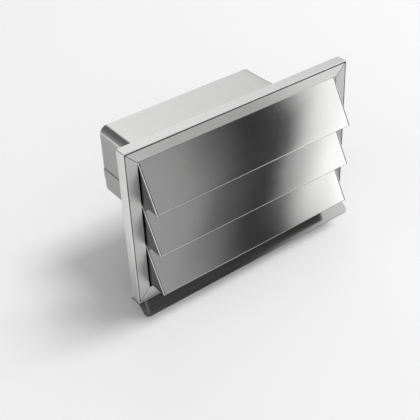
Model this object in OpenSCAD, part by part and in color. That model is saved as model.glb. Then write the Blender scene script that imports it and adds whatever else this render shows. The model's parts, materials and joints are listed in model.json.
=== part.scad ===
// Louvred wall vent for a flat duct.
// Axes: X to the right seen from the front, Y into the wall, Z up. All sizes are in millimetres.
// The origin lies on the duct's axis, in the plane where the tray meets the wall.

/* [Frame] */
// Outer width of the tray and frame
frame_w = 310; // [292:1:400]
// Outer height of the tray and frame
frame_h = 200; // [190:1:300]
// Depth of the tray from the wall to the bezel's face
frame_depth = 14.3; // [13:0.1:22]
// Thickness of the tray, bezel and lip sheet
sheet_t = 1.0; // [0.8:0.1:1.5]
// Width of the frame seen from the front, from its outer edge to the opening
bezel_w = 15.5; // [14.5:0.1:24]
// Depth of the lip bent back along each bezel strip's outer edge
bezel_lip = 8; // [4:0.5:8]
// Gap between the top bezel strip and the tray's wall
top_gap = 0.85; // [0.2:0.05:1.2]
// Gap between the other bezel strips and the tray's wall
side_gap = 0.35; // [0.2:0.05:0.8]
// Gap across each mitre joint
mitre_gap = 0.4; // [0.2:0.1:0.8]
// Height of the duct's axis above the middle of the frame
duct_rise = 10; // [0:0.5:14]

/* [Duct spigot] */
// Width of the flat duct that slides into the spigot
duct_w = 220; // [150:1:236]
// Height of the flat duct that slides into the spigot
duct_h = 90; // [54:1:94]
// Clearance between the duct and the spigot on each side
duct_fit = 0.5; // [0.2:0.1:1]
// Thickness of the spigot's sheet
spigot_t = 0.8; // [0.6:0.1:1.2]
// Length of the spigot behind the wall plane
spigot_l = 112; // [60:1:300]
// Outer radius of the spigot's four long corners
spigot_r = 10.5; // [6:0.5:20]
// Width of the flange round the spigot's front end
flange_w = 9; // [8:0.5:10]
// Height of the lap seam's edge below the duct's axis
seam_drop = 10; // [0:0.5:16]
// Width of the lap seam
seam_w = 12; // [6:1:16]
// Clearance between the spigot and the hole in the tray
spigot_fit = 0.2; // [0.1:0.05:0.4]

/* [Louvres] */
// Height left open under the lowest louvre
sill_gap = 5.2; // [3:0.1:9]
// Thickness of the louvre sheet
louvre_t = 0.8; // [0.6:0.1:1]
// Slope of a closed louvre's face, in degrees from vertical
louvre_slope = 29.5; // [20:0.5:32]
// Gap between a louvre's bottom edge and the rolled top of the louvre below
louvre_gap = 1.3; // [1:0.1:2.5]
// Distance of the pivots behind the bezel's face
pivot_back = 3.8; // [3.6:0.1:5]
// Distance of the top pivot below the opening's top edge
pivot_drop = 3.4; // [3.2:0.1:5]
// Gap between a louvre's cheek and the side of the opening
cheek_gap = 1.5; // [1:0.1:2.5]
// Thickness of the cheek plates
cheek_t = 1.0; // [0.8:0.1:1.5]
// Gap between a cheek and the end of the louvre's face
face_gap = 0.8; // [0.3:0.1:1.2]
// Height of the upstand behind a louvre's bottom return
upstand_h = 4; // [2:0.5:6]
// Reach of the tabs that tie a cheek to the face
tab_w = 9; // [6:1:14]

/* [Pivots] */
// Radius of the pivot rod
rod_r = 1.25; // [1:0.05:1.4]
// Running clearance of the rod in its bush
rod_fit = 0.05; // [0.02:0.01:0.08]
// Fixing clearance of the rod in the cheeks and clips
rod_grip = 0.02; // [0.01:0.01:0.04]
// Inner radius of the rolled top of a louvre
roll_r = 1.6; // [1.5:0.05:1.7]
// Wall of the pivot bush
bush_wall = 0.6; // [0.5:0.05:0.7]
// Radius of the bush's collar
collar_r = 2.7; // [2.4:0.1:3]
// Running clearance along the rod
end_play = 0.3; // [0.2:0.05:0.4]
// Outer radius of the retaining clips
clip_r = 2.4; // [2.1:0.1:2.5]
// Thickness of the retaining clips
clip_t = 0.8; // [0.5:0.1:1]

/* [Rails and stops] */
// Thickness of the rails
rail_t = 1.2; // [1:0.1:1.5]
// Width of the rail foot on the tray, measured past the rail's web
rail_foot = 9; // [7:0.5:10]
// Height of the stop bars
stop_h = 10; // [8:1:12]
// Depth of the stop bars
stop_d = 3; // [2:0.5:3.5]
// Thickness of the rubber strips
strip_t = 1.2; // [0.8:0.1:1.4]
// Height of the rubber strips
strip_h = 6; // [5:0.5:8]
// Distance of the rubber strips' front behind the bezel's face
strip_back = 1.6; // [1.5:0.1:2.4]
// Gap between a closed louvre and its rubber strip
strip_gap = 0.3; // [0.3:0.05:0.5]

/* [Drip lip] */
// How far the lip stands past the frame at each end
lip_over = 1.0; // [0:0.5:3]
// Length of the lip's sloping part
lip_l = 18.6; // [10:0.1:30]
// Slope of the lip below horizontal, in degrees
lip_slope = 35; // [15:1:60]
// Radius of the lip's front corners
lip_r = 6; // [2:0.5:9]

/* [Fasteners] */
// Spacing of the four mounting holes across the tray
mount_w = 246; // [240:1:252]
// Spacing of the four mounting holes up the tray
mount_h = 130; // [126:1:132]
// Radius of the mounting holes
mount_r = 2.5; // [2:0.1:3]
// Radius of the rivets' shanks
rivet_r = 1.6; // [1.2:0.1:2]
// Radius of the rivets' heads
rivet_head_r = 2.8; // [2.4:0.1:3.2]
// Height of the rivets' heads
rivet_head_h = 0.9; // [0.6:0.1:1.2]
// Clearance of the rivets in their holes
rivet_fit = 0.05; // [0.02:0.01:0.1]

/* [Hidden] */
$fn = 64;

// A cutter reaches this far past what it cuts.
past = 1;

// Frame: edges of the tray and of the opening in the bezel
frame_top = frame_h / 2 - duct_rise;
frame_bottom = frame_top - frame_h;
open_x = frame_w / 2 - bezel_w;
open_top = frame_top - bezel_w;
open_bottom = frame_bottom + bezel_w;
front_y = -frame_depth;
bezel_back_y = front_y + sheet_t;
plate_front_y = -sheet_t;

// Frame: outer edges of the bezel inside the tray's walls
bezel_x = frame_w / 2 - sheet_t - side_gap;
bezel_top_z = frame_top - sheet_t - top_gap;
bezel_bottom_z = frame_bottom + sheet_t + side_gap;

// Spigot
spigot_w = duct_w + 2 * (duct_fit + spigot_t);
spigot_h = duct_h + 2 * (duct_fit + spigot_t);
flange_y = plate_front_y - spigot_t;
seam_x = spigot_w / 2 + spigot_t;

// Louvres: pivot places and the wedge section, measured from the pivot as [y, z]
louvre_count = 3;
louvre_pitch = (open_top - open_bottom - sill_gap) / louvre_count;
pivot_y = front_y + pivot_back;
roll_out = roll_r + louvre_t;
louvre_drop = louvre_pitch - roll_out - louvre_gap;
face_l = (louvre_drop + roll_out * sin(louvre_slope)) / cos(louvre_slope);
cheek_x = open_x - cheek_gap;
skin_x = cheek_x - cheek_t - face_gap;
strip_front_y = front_y + strip_back;
return_y = strip_front_y - strip_gap - pivot_y;
// The cheek tabs stop this far short of both ends of the face
tab_end = 10;
// A stop bar's underside clears the rolled top below it by this much
roll_gap = 0.4;

// Pivots
bush_bore_r = rod_r + rod_fit;
bush_r = bush_bore_r + bush_wall;
collar_t = cheek_gap - end_play;
rail_x = open_x + rail_t;
bush_out = 0.1;
clip_x = rail_x + bush_out + end_play;
rod_x = clip_x + clip_t + 0.9;

// Corner keys lie behind the bezel, between its lip and the rod ends
key_t = 1.2;
key_in = rod_x + 0.7 - open_x;
key_out = bezel_w - sheet_t - top_gap - sheet_t - 0.3;
key_leg = 30;

// Rivet places as [x, z] on the tray's back plate, or along X on the lip
flange_mid = flange_w / 2 - 0.3;
spigot_row_x = [-0.4, -0.13, 0.13, 0.4] * duct_w;
spigot_side_z = [-0.22, 0.22] * duct_h;
rail_mid = rail_t + rail_foot / 2;
side_row_z = [for (k = [0:3]) open_bottom + (open_top - open_bottom) * (k + 0.5) / 4];
cross_row_x = [-0.7, 0, 0.7] * open_x;
lip_row_x = [-0.75, -0.25, 0.25, 0.75] * frame_w / 2;
lip_rivet_y = plate_front_y - rivet_head_r;
spigot_rivet_places = concat(
    [for (x = spigot_row_x) for (s = [-1, 1]) [x, s * (spigot_h / 2 + flange_mid)]],
    [for (z = spigot_side_z) for (s = [-1, 1]) [s * (spigot_w / 2 + flange_mid), z]]
);
rail_rivet_places = concat(
    [for (z = side_row_z) for (s = [-1, 1]) [s * (open_x + rail_mid), z]],
    [for (x = cross_row_x) [x, open_top + rail_mid]],
    [for (x = cross_row_x) [x, open_bottom - rail_mid]]
);
mount_places = [for (i = [-1, 1]) for (j = [-1, 1]) [i * mount_w / 2, j * mount_h / 2]];

function pivot_z(n) = open_top - pivot_drop - (n - 1) * louvre_pitch;
function bottom_z(n) = pivot_z(n) - louvre_drop;
// Point t along the louvre's face from its top, and d inwards from the face's outer side
function on_face(t, d) = [
    -(roll_out - d) * cos(louvre_slope) - t * sin(louvre_slope),
    (roll_out - d) * sin(louvre_slope) - t * cos(louvre_slope)
];

// A box given by its low and high corners
module block(low, high) {
    translate(low) cube(high - low);
}

// Extrudes an outline drawn in [y, z] along X, from x0 to x1
module along_x(x0, x1) {
    translate([x0, 0, 0]) rotate([90, 0, 90]) linear_extrude(x1 - x0) children();
}

// Extrudes an outline drawn in [x, z] along Y, from y0 to y1
module along_y(y0, y1) {
    translate([0, y1, 0]) rotate([90, 0, 0]) linear_extrude(y1 - y0) children();
}

module rounded_rectangle(w, h, r) {
    square([w - 2 * r, h], center = true);
    square([w, h - 2 * r], center = true);
    for (i = [-1, 1]) for (j = [-1, 1]) translate([i * (w / 2 - r), j * (h / 2 - r)]) circle(r);
}

// Round holes along Y through the back plate and what lies on it
module plate_holes(places, r) {
    for (p = places) translate([p[0], past, p[1]]) rotate([90, 0, 0]) cylinder(r = r, h = frame_depth);
}

// One rivet along Y: its head on the plane y, its shank flush with the wall plane
module plate_rivet(y) {
    rotate([90, 0, 0]) cylinder(r = rivet_r, h = -y);
    translate([0, y, 0]) rotate([90, 0, 0]) cylinder(r1 = rivet_head_r, r2 = rivet_head_r * 0.6, h = rivet_head_h);
}

module wall_tray() {
    color("gainsboro") difference() {
        block([-frame_w / 2, front_y, frame_bottom], [frame_w / 2, 0, frame_top]);
        block(
            [-frame_w / 2 + sheet_t, front_y - past, frame_bottom + sheet_t],
            [frame_w / 2 - sheet_t, plate_front_y, frame_top - sheet_t]
        );
        along_y(-past - sheet_t, past)
            rounded_rectangle(spigot_w + 2 * spigot_fit, spigot_h + 2 * spigot_fit, spigot_r + spigot_fit);
        // A notch lets the spigot's lap seam through
        block(
            [-seam_x - spigot_fit, -past - sheet_t, -seam_drop - seam_w - spigot_fit],
            [-spigot_w / 2, past, -seam_drop + spigot_fit]
        );
        plate_holes(mount_places, mount_r);
        plate_holes(spigot_rivet_places, rivet_r + rivet_fit);
        plate_holes(rail_rivet_places, rivet_r + rivet_fit);
        for (x = lip_row_x) translate([x, lip_rivet_y, frame_bottom - past])
            cylinder(r = rivet_r + rivet_fit, h = sheet_t + 2 * past);
    }
}

// The whole mitred bezel before it is cut into strips: a face with a lip round its outer edge
module bezel_ring() {
    difference() {
        block([-bezel_x, front_y, bezel_bottom_z], [bezel_x, front_y + bezel_lip, bezel_top_z]);
        block(
            [-bezel_x + sheet_t, bezel_back_y, bezel_bottom_z + sheet_t],
            [bezel_x - sheet_t, front_y + bezel_lip + past, bezel_top_z - sheet_t]
        );
        block([-open_x, front_y - past, open_bottom], [open_x, bezel_back_y + past, open_top]);
    }
}

// The part of the front above the two 45 degree mitres, with half the mitre gap taken off each
module top_sector(edge_z, reach) {
    cut = mitre_gap / 2 * sqrt(2);
    polygon([
        [-open_x + cut, edge_z], [-open_x + cut - reach, edge_z + reach],
        [open_x - cut + reach, edge_z + reach], [open_x - cut, edge_z]
    ]);
}

module side_sector(reach) {
    cut = mitre_gap / 2 * sqrt(2);
    polygon([
        [open_x, open_bottom + cut], [open_x + reach, open_bottom + cut - reach],
        [open_x + reach, open_top - cut + reach], [open_x, open_top - cut]
    ]);
}

module bezel_top() {
    color("silver") intersection() {
        bezel_ring();
        along_y(front_y - past, 0) top_sector(open_top, bezel_w);
    }
}

module bezel_bottom() {
    color("silver") intersection() {
        bezel_ring();
        mirror([0, 0, 1]) along_y(front_y - past, 0) top_sector(-open_bottom, bezel_w);
    }
}

module bezel_right() {
    color("silver") intersection() {
        bezel_ring();
        along_y(front_y - past, 0) side_sector(bezel_w);
    }
}

module bezel_left() {
    color("silver") intersection() {
        bezel_ring();
        mirror([1, 0, 0]) along_y(front_y - past, 0) side_sector(bezel_w);
    }
}

// An L-shaped key behind each mitre
module corner_keys() {
    color("gray") for (i = [-1, 1]) for (j = [-1, 1]) {
        corner_z = j > 0 ? open_top : open_bottom;
        translate([i * open_x, 0, corner_z]) scale_corner(i, j) along_y(bezel_back_y, bezel_back_y + key_t)
            polygon([
                [key_in, key_out - key_leg], [key_out, key_out - key_leg], [key_out, key_out],
                [key_out - key_leg, key_out], [key_out - key_leg, key_in], [key_in, key_in]
            ]);
    }
}

// Turns a shape made for the top right corner to the corner with signs i and j
module scale_corner(i, j) {
    mirror([i < 0 ? 1 : 0, 0, 0]) mirror([0, 0, j < 0 ? 1 : 0]) children();
}

// What is cut from a square corner at the origin, with its sides along -X and +Y, to round it
module corner_cut(r) {
    difference() {
        translate([-r, -past]) square([r + past, r + past]);
        translate([-r, r]) circle(r);
    }
}

module drip_lip() {
    half = frame_w / 2 + lip_over;
    bend = sheet_t * tan(lip_slope / 2);
    tip = lip_l * [-cos(lip_slope), -sin(lip_slope)];
    color("dimgray") difference() {
        translate([0, front_y, frame_bottom]) along_x(-half, half) polygon([
            [frame_depth, 0], [0, 0], tip, tip + sheet_t * [sin(lip_slope), -cos(lip_slope)],
            [bend, -sheet_t], [frame_depth, -sheet_t]
        ]);
        translate([0, front_y, frame_bottom]) rotate([lip_slope, 0, 0]) for (i = [0, 1])
            mirror([i, 0, 0]) translate([half, -lip_l, -sheet_t - past])
                linear_extrude(sheet_t + 2 * past) corner_cut(lip_r);
        for (x = lip_row_x) translate([x, lip_rivet_y, frame_bottom - sheet_t - past])
            cylinder(r = rivet_r + rivet_fit, h = sheet_t + 2 * past);
    }
}

module lip_rivets() {
    color("silver") for (x = lip_row_x) translate([x, lip_rivet_y, frame_bottom - sheet_t]) {
        cylinder(r = rivet_r, h = 2 * sheet_t);
        translate([0, 0, -rivet_head_h])
            cylinder(r1 = rivet_head_r * 0.6, r2 = rivet_head_r, h = rivet_head_h);
        translate([0, 0, 2 * sheet_t])
            cylinder(r1 = rivet_head_r * 0.8, r2 = rivet_head_r * 0.6, h = rivet_head_h);
    }
}

module duct_spigot() {
    color("lightgray") difference() {
        union() {
            along_y(flange_y, spigot_l) rounded_rectangle(spigot_w, spigot_h, spigot_r);
            along_y(flange_y, plate_front_y)
                rounded_rectangle(spigot_w + 2 * flange_w, spigot_h + 2 * flange_w, spigot_r + flange_w);
            block([-seam_x, plate_front_y, -seam_drop - seam_w], [-spigot_w / 2, spigot_l, -seam_drop]);
        }
        along_y(flange_y - past, spigot_l + past)
            rounded_rectangle(spigot_w - 2 * spigot_t, spigot_h - 2 * spigot_t, spigot_r - spigot_t);
        plate_holes(spigot_rivet_places, rivet_r + rivet_fit);
    }
}

module spigot_rivets() {
    color("silver") for (p = spigot_rivet_places) translate([p[0], 0, p[1]]) plate_rivet(flange_y);
}

// A side rail on the right: a web flush with the opening and a foot on the tray
module side_rail() {
    difference() {
        union() {
            block([open_x, bezel_back_y, open_bottom], [rail_x, plate_front_y, open_top]);
            block(
                [open_x, plate_front_y - rail_t, open_bottom],
                [rail_x + rail_foot, plate_front_y, open_top]
            );
        }
        for (n = [1:louvre_count]) translate([open_x - past, pivot_y, pivot_z(n)])
            rotate([0, 90, 0]) cylinder(r = bush_r + rivet_fit, h = rail_t + 2 * past);
        plate_holes(rail_rivet_places, rivet_r + rivet_fit);
    }
}

module rail_right() {
    color("silver") side_rail();
}

module rail_left() {
    color("silver") mirror([1, 0, 0]) side_rail();
}

// A rail across the opening's top or bottom edge; side is 1 above it and -1 below
module cross_rail(edge_z, side) {
    difference() {
        translate([0, 0, edge_z]) mirror([0, 0, side < 0 ? 1 : 0]) {
            block([-rail_x, bezel_back_y, 0], [rail_x, plate_front_y, rail_t]);
            block([-rail_x, plate_front_y - rail_t, 0], [rail_x, plate_front_y, rail_t + rail_foot]);
        }
        plate_holes(rail_rivet_places, rivet_r + rivet_fit);
    }
}

module rail_top() {
    color("silver") cross_rail(open_top, 1);
}

module rail_bottom() {
    color("silver") cross_rail(open_bottom, -1);
}

module rail_rivets() {
    color("silver") for (p = rail_rivet_places)
        translate([p[0], 0, p[1]]) plate_rivet(plate_front_y - rail_t);
}

// The bar behind louvre n that carries its rubber strip, down to just above the next rolled top
module stop_bar(n) {
    low = bottom_z(n) - louvre_gap + roll_gap;
    y = strip_front_y + strip_t;
    color("silver") block([-open_x, y, low], [open_x, y + stop_d, low + stop_h]);
}

module stop_strip(n) {
    low = bottom_z(n);
    color("black") block([-cheek_x, strip_front_y, low], [cheek_x, strip_front_y + strip_t, low + strip_h]);
}

// A flanged bush in each side rail for each louvre
module pivot_bushes() {
    color("white") for (n = [1:louvre_count]) for (i = [0, 1]) mirror([i, 0, 0])
        translate([open_x, pivot_y, pivot_z(n)]) rotate([0, 90, 0]) difference() {
            union() {
                translate([0, 0, -collar_t]) cylinder(r = collar_r, h = collar_t);
                cylinder(r = bush_r, h = rail_t + bush_out);
            }
            translate([0, 0, -collar_t - past])
                cylinder(r = bush_bore_r, h = collar_t + rail_t + bush_out + 2 * past);
        }
}

// Louvre n's sheet: rolled top, sloping face, bottom return and upstand
module louvre_skin(n) {
    bottom = on_face(face_l, 0)[1];
    color("darkgray") translate([0, pivot_y, pivot_z(n)]) along_x(-skin_x, skin_x) difference() {
        union() {
            circle(roll_out);
            polygon([
                on_face(0, 0), on_face(face_l, 0),
                [return_y, bottom], [return_y, bottom + upstand_h],
                [return_y - louvre_t, bottom + upstand_h], [return_y - louvre_t, bottom + louvre_t],
                on_face(face_l - louvre_t * (1 + sin(louvre_slope)) / cos(louvre_slope), louvre_t),
                on_face(0, louvre_t)
            ]);
        }
        circle(roll_r);
    }
}

// Louvre n's right-hand cheek: a triangular plate, notched over the stop bar, with a tab behind the face
module louvre_cheek(n) {
    translate([0, pivot_y, pivot_z(n)]) difference() {
        union() {
            along_x(cheek_x - cheek_t, cheek_x) {
                circle(roll_out);
                polygon([
                    on_face(0, 0), on_face(face_l, 0), [return_y, -louvre_drop],
                    [return_y, stop_h - louvre_drop], [roll_out, stop_h - louvre_drop], [roll_out, 0]
                ]);
            }
            along_x(cheek_x - cheek_t - tab_w, cheek_x - cheek_t / 2) polygon([
                on_face(tab_end, louvre_t), on_face(face_l - tab_end, louvre_t),
                on_face(face_l - tab_end, louvre_t + cheek_t), on_face(tab_end, louvre_t + cheek_t)
            ]);
        }
        translate([cheek_x - cheek_t - past, 0, 0]) rotate([0, 90, 0])
            cylinder(r = rod_r + rod_grip, h = cheek_t + 2 * past);
    }
}

module louvre_cheek_right(n) {
    color("darkgray") louvre_cheek(n);
}

module louvre_cheek_left(n) {
    color("darkgray") mirror([1, 0, 0]) louvre_cheek(n);
}

module louvre_rod(n) {
    color("silver") translate([-rod_x, pivot_y, pivot_z(n)]) rotate([0, 90, 0]) cylinder(r = rod_r, h = 2 * rod_x);
}

module louvre_clips(n) {
    color("gray") for (i = [0, 1]) mirror([i, 0, 0]) translate([clip_x, pivot_y, pivot_z(n)])
        rotate([0, 90, 0]) difference() {
            cylinder(r = clip_r, h = clip_t);
            translate([0, 0, -past]) cylinder(r = rod_r + rod_grip, h = clip_t + 2 * past);
        }
}

wall_tray();
bezel_top();
bezel_bottom();
bezel_left();
bezel_right();
corner_keys();
drip_lip();
lip_rivets();
duct_spigot();
spigot_rivets();
rail_left();
rail_right();
rail_top();
rail_bottom();
rail_rivets();
stop_bar(1);  // stop_bar_1
stop_bar(2);  // stop_bar_2
stop_bar(3);  // stop_bar_3
stop_strip(1);  // stop_strip_1
stop_strip(2);  // stop_strip_2
stop_strip(3);  // stop_strip_3
pivot_bushes();
louvre_skin(1);  // louvre_1_skin
louvre_cheek_left(1);  // louvre_1_cheek_left
louvre_cheek_right(1);  // louvre_1_cheek_right
louvre_rod(1);  // louvre_1_rod
louvre_clips(1);  // louvre_1_clips
louvre_skin(2);  // louvre_2_skin
louvre_cheek_left(2);  // louvre_2_cheek_left
louvre_cheek_right(2);  // louvre_2_cheek_right
louvre_rod(2);  // louvre_2_rod
louvre_clips(2);  // louvre_2_clips
louvre_skin(3);  // louvre_3_skin
louvre_cheek_left(3);  // louvre_3_cheek_left
louvre_cheek_right(3);  // louvre_3_cheek_right
louvre_rod(3);  // louvre_3_rod
louvre_clips(3);  // louvre_3_clips
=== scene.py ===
"""Louvred stainless wall vent on a pale studio floor. Lengths are in metres, in the CAD model's frame."""
import json
from math import cos, pi, radians, sin, tan

import bpy
import numpy as np
from mathutils import Matrix, Vector


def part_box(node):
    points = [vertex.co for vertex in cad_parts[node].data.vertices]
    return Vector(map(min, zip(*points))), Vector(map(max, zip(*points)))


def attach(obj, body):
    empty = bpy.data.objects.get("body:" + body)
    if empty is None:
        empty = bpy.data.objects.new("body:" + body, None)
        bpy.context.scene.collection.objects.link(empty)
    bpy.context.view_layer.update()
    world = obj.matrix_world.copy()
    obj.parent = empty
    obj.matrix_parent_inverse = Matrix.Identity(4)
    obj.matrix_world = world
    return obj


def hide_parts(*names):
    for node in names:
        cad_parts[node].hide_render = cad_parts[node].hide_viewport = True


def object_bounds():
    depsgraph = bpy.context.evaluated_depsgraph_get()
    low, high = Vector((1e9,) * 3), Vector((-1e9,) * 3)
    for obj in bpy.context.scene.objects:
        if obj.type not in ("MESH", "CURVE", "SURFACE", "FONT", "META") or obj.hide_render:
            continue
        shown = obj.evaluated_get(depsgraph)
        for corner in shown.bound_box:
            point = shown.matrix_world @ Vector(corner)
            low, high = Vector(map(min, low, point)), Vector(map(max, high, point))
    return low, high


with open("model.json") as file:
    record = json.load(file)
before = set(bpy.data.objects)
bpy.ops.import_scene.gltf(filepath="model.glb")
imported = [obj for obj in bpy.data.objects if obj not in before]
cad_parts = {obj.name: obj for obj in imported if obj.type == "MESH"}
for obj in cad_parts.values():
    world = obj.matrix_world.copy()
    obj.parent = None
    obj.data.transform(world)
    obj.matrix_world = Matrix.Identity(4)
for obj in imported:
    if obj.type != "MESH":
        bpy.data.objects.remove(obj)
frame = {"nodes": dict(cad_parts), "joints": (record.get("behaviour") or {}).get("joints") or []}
cad_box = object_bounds()
mm = 0.001


# ---------------------------------------------------------------- shader maths

class Value:
    """A socket that carries a number. Arithmetic on it adds Math nodes to its graph."""

    def __init__(self, graph, socket):
        self.graph = graph
        self.socket = socket

    def __add__(self, other):
        return self.graph.math("ADD", self, other)

    def __sub__(self, other):
        return self.graph.math("SUBTRACT", self, other)

    def __rsub__(self, other):
        return self.graph.math("SUBTRACT", other, self)

    def __mul__(self, other):
        return self.graph.math("MULTIPLY", self, other)

    __radd__ = __add__
    __rmul__ = __mul__


class Graph:
    """A node tree that is written as Python expressions."""

    def __init__(self, owner):
        owner.use_nodes = True
        self.tree = owner.node_tree
        self.tree.nodes.clear()

    def node(self, kind, settings=None, **inputs):
        """Adds a node, sets its settings first, then its sockets, named in words or as s0, s1 and so on."""
        made = self.tree.nodes.new("ShaderNode" + kind)
        for key, value in (settings or {}).items():
            if key == "stops":
                self.set_stops(made.color_ramp, value)
            else:
                setattr(made, key, value)
        for key, value in inputs.items():
            numbered = key[0] == "s" and key[1:].isdigit()
            socket = made.inputs[int(key[1:]) if numbered else key.replace("_", " ")]
            if isinstance(value, Value):
                value = value.socket
            if isinstance(value, bpy.types.NodeSocket):
                self.tree.links.new(value, socket)
            else:
                socket.default_value = value
        return made

    @staticmethod
    def set_stops(ramp, stops):
        """Stops are (place, grey level) pairs."""
        ramp.elements[0].position = stops[0][0]
        ramp.elements[1].position = stops[-1][0]
        for place, _ in stops[1:-1]:
            ramp.elements.new(place)
        for element, (place, level) in zip(ramp.elements, stops):
            element.color = (level, level, level, 1)

    def math(self, operation, *values):
        sockets = {f"s{i}": value for i, value in enumerate(values)}
        made = self.node("Math", {"operation": operation}, **sockets)
        return Value(self, made.outputs[0])

    def ramp(self, value, stops):
        made = self.node("ValToRGB", {"stops": stops}, Fac=value)
        return Value(self, made.outputs["Color"])

    def step(self, value, low, high):
        """0 below low, 1 above high, smooth between."""
        made = self.node(
            "MapRange", {"interpolation_type": "SMOOTHSTEP"}, Value=value, From_Min=low, From_Max=high
        )
        return Value(self, made.outputs[0])

    def xyz(self, vector):
        made = self.node("SeparateXYZ", None, Vector=vector)
        return [Value(self, made.outputs[i]) for i in range(3)]

    def scaled(self, vector, scale):
        """The coordinates stretched by a different factor along each axis."""
        return self.node("Mapping", None, Vector=vector, Scale=scale).outputs["Vector"]

    def noise(self, vector, scale=1.0, detail=2.0, roughness=0.5):
        made = self.node("TexNoise", None, Vector=vector, Scale=scale, Detail=detail, Roughness=roughness)
        return Value(self, made.outputs["Fac"])

    def attribute(self, name):
        made = self.node("Attribute", {"attribute_name": name, "attribute_type": "GEOMETRY"})
        return Value(self, made.outputs["Fac"])

    def mix(self, factor, first, second):
        made = self.node("Mix", {"data_type": "RGBA"}, s0=factor, s6=first, s7=second)
        return made.outputs[2]

    def bump(self, height, distance):
        return self.node("Bump", None, Strength=1.0, Distance=distance, Height=height).outputs["Normal"]


def grey(level, warmth=0.0):
    """A near-neutral colour; warmth tips it from blue to yellow."""
    return (level * (1 + warmth), level, level * (1 - warmth), 1)


# ---------------------------------------------------------------- materials

# Texture scales of the brushing, per metre: along its lines and across them
FINE_LINES = (22.0, 3200.0)
COARSE_LINES = (5.0, 520.0)
CLOUD_SCALE, SPOT_SCALE = 24.0, 160.0
# How much darker and rougher a face marked for painted shade is (the tray's inside, the louvres' returns, the
# bezel's lips and cut ends), and how much rougher a bright edge is
PAINTED_SHADE_DARKER, PAINTED_SHADE_ROUGHER, BRIGHT_EDGE_ROUGHER = 0.85, 0.25, 0.05


def grain_scale(axis, lines):
    """Texture scale of lines that run along the given axis."""
    along, across_lines = lines
    return tuple(along if name == axis else across_lines for name in "XYZ")


def brushed_steel(name, axis, level, roughness, smudge=0.05, depth=0.004 * mm, lines=0.10, worn=0.15):
    """Stainless sheet brushed along one axis: fine lines, broad smudges, uneven sheen, bright edges that are
    partly wear and partly a painted highlight, and painted shade where the inner attribute marks it.
    """
    material = bpy.data.materials.new(name)
    graph = Graph(material)
    place = graph.node("TexCoord").outputs["Object"]
    fine = graph.noise(graph.scaled(place, grain_scale(axis, FINE_LINES)), detail=3.0)
    coarse = graph.noise(graph.scaled(place, grain_scale(axis, COARSE_LINES)), detail=2.0)
    cloud = graph.noise(place, scale=CLOUD_SCALE, detail=4.0, roughness=0.6)
    spots = graph.noise(place, scale=SPOT_SCALE, detail=2.0)
    # The edge attribute brightens edges: partly wear, partly a painted highlight, and almost all painted
    # highlight on the cheeks
    edge_wear_and_highlight = graph.attribute("edge")
    # The inner attribute is painted shade: it darkens gaps, sheet ends, the louvres' returns, the bezel's
    # lips and the tray's inside
    inner = graph.attribute("inner")
    tone = 1.0 + (fine - 0.5) * lines + (coarse - 0.5) * (0.5 * lines) + (cloud - 0.5) * smudge
    tone = tone + (spots - 0.5) * smudge + edge_wear_and_highlight * worn
    colour = graph.mix(tone * (1.0 - inner * PAINTED_SHADE_DARKER) * level, grey(0.0), grey(1.0, 0.006))
    sheen = roughness + (coarse - 0.5) * (lines * 0.4) + (cloud - 0.5) * smudge
    sheen = sheen + edge_wear_and_highlight * BRIGHT_EDGE_ROUGHER + inner * PAINTED_SHADE_ROUGHER
    normal = graph.bump(fine + coarse * 0.3, depth)
    shader = graph.node(
        "BsdfPrincipled", None, Base_Color=colour, Metallic=1.0, Roughness=sheen, Normal=normal
    )
    graph.node("OutputMaterial", None, Surface=shader.outputs[0])
    return material


def moulded(name, colour, roughness, depth):
    """Plastic or rubber with a faint moulded grain and cloudy sheen."""
    material = bpy.data.materials.new(name)
    graph = Graph(material)
    place = graph.node("TexCoord").outputs["Object"]
    grain = graph.noise(place, scale=2500.0, detail=2.0)
    cloud = graph.noise(place, scale=90.0, detail=2.0)
    tint = graph.mix(cloud, colour, tuple(0.8 * c for c in colour[:3]) + (1,))
    shader = graph.node(
        "BsdfPrincipled", None, Base_Color=tint, Roughness=roughness + (cloud - 0.5) * 0.2,
        Normal=graph.bump(grain, depth)
    )
    graph.node("OutputMaterial", None, Surface=shader.outputs[0])
    return material


# Name, direction of the brushing, tone and roughness of each finish
TRAY_STEEL = brushed_steel("tray_steel", "X", 0.80, 0.32, lines=0.04)
BEZEL_X_STEEL = brushed_steel("bezel_steel_across", "X", 0.70, 0.24, lines=0.06)
BEZEL_Z_STEEL = brushed_steel("bezel_steel_upright", "Z", 0.63, 0.40, lines=0.06)
LOUVRE_STEEL = brushed_steel(
    "louvre_steel", "X", 0.74, 0.075, smudge=0.03, depth=0.0004 * mm, lines=0.04, worn=0.06
)
# Cheek finish: its very dark base is painted shade between the louvres, and its edge gain of 5.4 paints a
# bright highlight on the cut edges
CHEEK_SHADE_HIGHLIGHT_STEEL = brushed_steel("cheek_steel", "Z", 0.13, 0.30, worn=5.4)
SPIGOT_STEEL = brushed_steel("spigot_steel", "Y", 0.70, 0.22, lines=0.04)
LIP_STEEL = brushed_steel(
    "lip_steel", "X", 0.54, 0.15, smudge=0.03, depth=0.0004 * mm, lines=0.04, worn=0.05
)
# Inner steel: its very dark base is painted shade for the rails, stop bars and other parts in the vent's
# chamber
INNER_SHADE_STEEL = brushed_steel("inner_steel", "X", 0.17, 0.38)
# Near-black steel as painted shade: the tabs in the gap behind the louvre faces, and the corner keys
DARK_SHADE_STEEL = brushed_steel("key_steel", "X", 0.10, 0.45)
BRIGHT_STEEL = brushed_steel("bright_steel", "Y", 0.7, 0.2, depth=0.002 * mm)
NYLON = moulded("nylon", (0.8, 0.78, 0.7, 1), 0.45, 0.004 * mm)
RUBBER = moulded("rubber", (0.02, 0.02, 0.02, 1), 0.7, 0.01 * mm)


# ---------------------------------------------------------------- mesh makers

# Edges bent more sharply than this are drawn sharp
SHARP = radians(24)
# How fast the bright edge, partly wear and partly a painted highlight, dies out away from an edge
WEAR_AND_HIGHLIGHT_REACH = 0.8 * mm


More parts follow.
